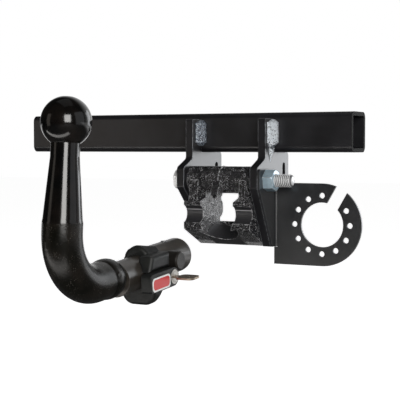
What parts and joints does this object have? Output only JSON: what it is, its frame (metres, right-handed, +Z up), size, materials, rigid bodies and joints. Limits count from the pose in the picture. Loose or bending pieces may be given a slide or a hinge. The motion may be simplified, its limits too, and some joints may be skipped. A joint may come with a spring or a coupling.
{
  "type": "towbar",
  "caption": "Square-tube towbar with a cast receiver, a bent socket plate and a drawn-out detachable ball neck with a cross pin, release lever and key.",
  "frame": {"origin": "centre of the crossbar's vehicle-side face, midway between the two side plates", "axes": "+X to the right seen from behind the vehicle, +Y forward to the vehicle, +Z up"},
  "size_m": [0.4835, 0.4586, 0.2199],
  "materials": {
    "black_coat": "satin powder coat",
    "black_cast": "gloss black over rough casting",
    "black_neck": "gloss black",
    "barrel_steel": "dark satin",
    "zinc": "zinc plated",
    "steel": "machined",
    "bronze": "sintered",
    "cover_plastic": "fine matte",
    "seal_rubber": "matte",
    "label_red": "glossy red with a white border",
    "lock_chrome": "bright",
    "key_nickel": "nickel plated"
  },
  "bodies": {
    "hitch": {"crossbar": "black_coat", "bracket_left": "black_coat", "bracket_right": "black_coat", "weld_beads": "black_coat", "receiver": "black_cast", "hitch_bolt": "zinc", "hitch_nut": "zinc", "fixing_bolts": "zinc", "socket_plate": "black_coat"},
    "neck": {"ball_neck": "black_neck", "coupling_body": "barrel_steel", "neck_pin": "steel", "cross_pin": "black_neck", "barrel_cap": "black_neck", "cap_seal": "seal_rubber", "cap_screw": "steel", "bore_plug": "steel", "shaft_bushes": "bronze", "cover_left": "cover_plastic", "cover_right": "cover_plastic", "cover_screws": "steel", "bolt_spring": "steel"},
    "lever": {"release_lever": "cover_plastic", "lever_label": "label_red", "lever_shaft": "steel", "lift_cam": "steel", "lock_housing": "lock_chrome"},
    "lock_key": {"lock_plug": "lock_chrome", "key": "key_nickel"},
    "wedge": {"lock_wedge": "steel"},
    "bolt": {"lock_bolt": "steel"}
  },
  "joints": [
    {"name": "neck_insertion", "type": "slide", "parent": "hitch", "child": "neck", "axis": [0, 0.965, 0.2622], "range_m": [0, 0.1564]},
    {"name": "lever_swing", "type": "hinge", "parent": "neck", "child": "lever", "pos_m": [0, -0.2698, -0.15842], "axis": [1, 0, 0], "range_deg": [0, 90]},
    {"name": "key_turn", "type": "hinge", "parent": "lever", "child": "lock_key", "pos_m": [0, -0.2698, -0.15842], "axis": [1, 0, 0], "range_deg": [0, 90]},
    {"name": "wedge_push", "type": "slide", "parent": "neck", "child": "wedge", "axis": [0, 0.9971, 0.0767], "range_m": [0, 0.00786]},
    {"name": "bolt_lift", "type": "slide", "parent": "neck", "child": "bolt", "axis": [0, -0.0767, 0.9971], "range_m": [0, 0.00786], "deforming": ["bolt_spring"]}
  ],
  "couplings": [
    {"joint": "wedge_push", "follows": "lever_swing", "m_per_rad": 0.005},
    {"joint": "bolt_lift", "follows": "lever_swing", "m_per_rad": 0.005}
  ]
}
